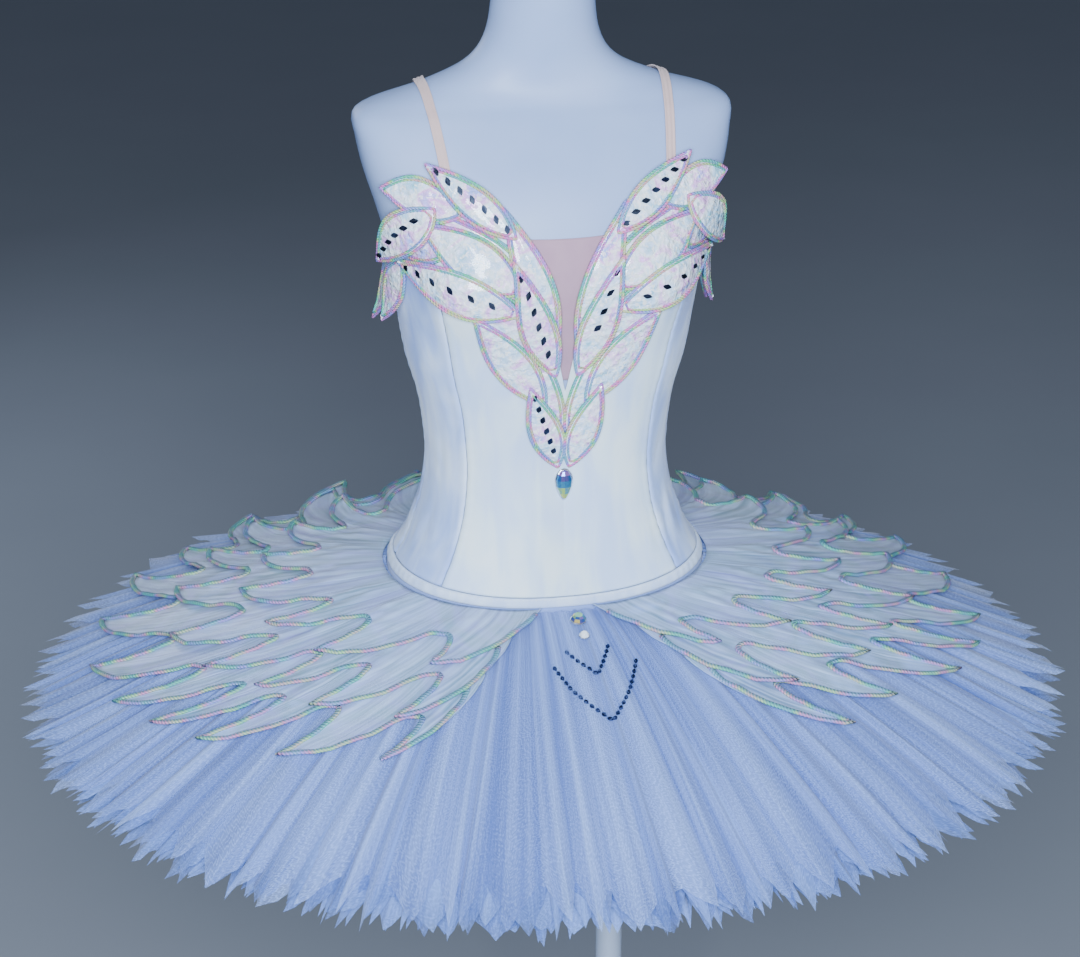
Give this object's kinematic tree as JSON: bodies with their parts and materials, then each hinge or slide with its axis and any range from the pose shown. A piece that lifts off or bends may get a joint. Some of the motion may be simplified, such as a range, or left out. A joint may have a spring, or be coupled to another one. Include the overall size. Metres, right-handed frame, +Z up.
{
  "type": "ballet tutu on a dress form",
  "caption": "Classical stage tutu with a boned bodice, flat gathered net skirts and leaf trim, worn by a limbless dress form on a pole stand.",
  "frame": {"origin": "centre of the stand's floor plate, on its underside, where it meets the floor", "axes": "+Z up, the wearer's front faces -Y, and +X is the wearer's left"},
  "size_m": [1.0513, 1.0015, 1.534],
  "materials": {
    "white_satin": "cool white stretch satin with a soft sheen",
    "net": "stiff matt white tulle, seen cool blue-white",
    "pearl_cloth": "shiny white organza with a pastel shimmer",
    "flesh_mesh": "matt dusty pink stretch mesh",
    "flesh_elastic": "ribbed flesh-coloured elastic",
    "crystal": "cut crystal with a rainbow coating",
    "form_shell": "smooth pale satin shell",
    "stand_metal": "pale grey satin paint"
  },
  "bodies": {
    "root": {"bodice_centre_back_left": "white_satin", "bodice_centre_back_right": "white_satin", "bodice_centre_front": "white_satin", "bodice_side_back_left": "white_satin", "bodice_side_back_right": "white_satin", "bodice_side_front_left": "white_satin", "bodice_side_front_right": "white_satin", "brief_back": "net", "brief_front": "net", "dress_form": "form_shell", "drop_jewel": "crystal", "feather_tier_inner_left": "pearl_cloth", "feather_tier_inner_right": "pearl_cloth", "feather_tier_middle_left": "pearl_cloth", "feather_tier_middle_right": "pearl_cloth", "feather_tier_outer_left": "pearl_cloth", "feather_tier_outer_right": "pearl_cloth", "hem_binding": "white_satin", "hip_yoke": "net", "leaf_arm_left": "pearl_cloth", "leaf_arm_right": "pearl_cloth", "leaf_breast_left": "pearl_cloth", "leaf_breast_right": "pearl_cloth", "leaf_heart_left": "pearl_cloth", "leaf_heart_right": "pearl_cloth", "leaf_inner_left": "pearl_cloth", "leaf_inner_right": "pearl_cloth", "leaf_low_left": "pearl_cloth", "leaf_low_right": "pearl_cloth", "leaf_middle_left": "pearl_cloth", "leaf_middle_right": "pearl_cloth", "leaf_neck_left": "pearl_cloth", "leaf_neck_right": "pearl_cloth", "leaf_point_left": "pearl_cloth", "leaf_point_right": "pearl_cloth", "leaf_shoulder_left": "pearl_cloth", "leaf_shoulder_right": "pearl_cloth", "leaf_side_left": "pearl_cloth", "leaf_side_right": "pearl_cloth", "leaf_top_left": "pearl_cloth", "leaf_top_right": "pearl_cloth", "leaf_waist_left": "pearl_cloth", "leaf_waist_right": "pearl_cloth", "leaf_wing_left": "pearl_cloth", "leaf_wing_right": "pearl_cloth", "neck_insert": "flesh_mesh", "net_skirt_lowest": "net", "net_skirt_second": "net", "net_skirt_third": "net", "net_skirt_top": "net", "stand_base": "stand_metal", "stand_collar": "stand_metal", "stand_pole": "stand_metal", "strap_left": "flesh_elastic", "strap_right": "flesh_elastic"}
  },
  "joints": []
}
